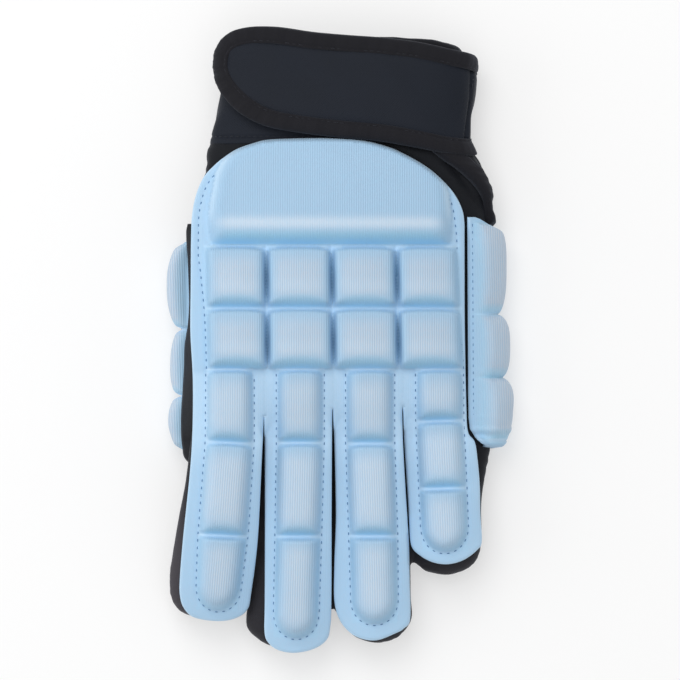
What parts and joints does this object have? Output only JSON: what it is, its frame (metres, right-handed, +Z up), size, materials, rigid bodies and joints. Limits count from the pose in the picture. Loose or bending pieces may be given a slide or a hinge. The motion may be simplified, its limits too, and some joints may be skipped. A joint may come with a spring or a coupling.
{
  "type": "indoor hockey glove",
  "caption": "Left indoor hockey glove lying on its palm: stretch fabric body, light blue block foam shield over the back and fingers, side and thumb pads, neoprene cuff with wrist strap",
  "frame": {"origin": "middle of the ground that the glove covers as it lies on its palm", "axes": "+Y from the fingertips to the wrist, +X from the thumb side to the little finger side, +Z up out of the back of the hand"},
  "size_m": [0.1332, 0.2396, 0.0467],
  "materials": {
    "stretch_fabric": "black stretch knit with a soft sheen",
    "ribbed_foam": "light blue fine ribbed fabric laminated on moulded foam",
    "neoprene": "smooth jersey faced black neoprene",
    "binding_tape": "warm black knitted binding tape",
    "hook_tape": "matt black moulded hooks"
  },
  "bodies": {
    "root": {"hand_back": "stretch_fabric", "hand_palm": "stretch_fabric", "index_tube": "stretch_fabric", "middle_tube": "stretch_fabric", "ring_tube": "stretch_fabric", "little_tube": "stretch_fabric", "back_shield": "ribbed_foam", "side_pad": "ribbed_foam", "thumb_pad": "ribbed_foam", "wrist_cuff": "neoprene", "cuff_binding": "binding_tape", "wrist_strap": "neoprene", "strap_binding": "binding_tape", "hook_patch": "hook_tape", "side_gusset": "neoprene", "gusset_binding": "binding_tape"}
  },
  "joints": []
}
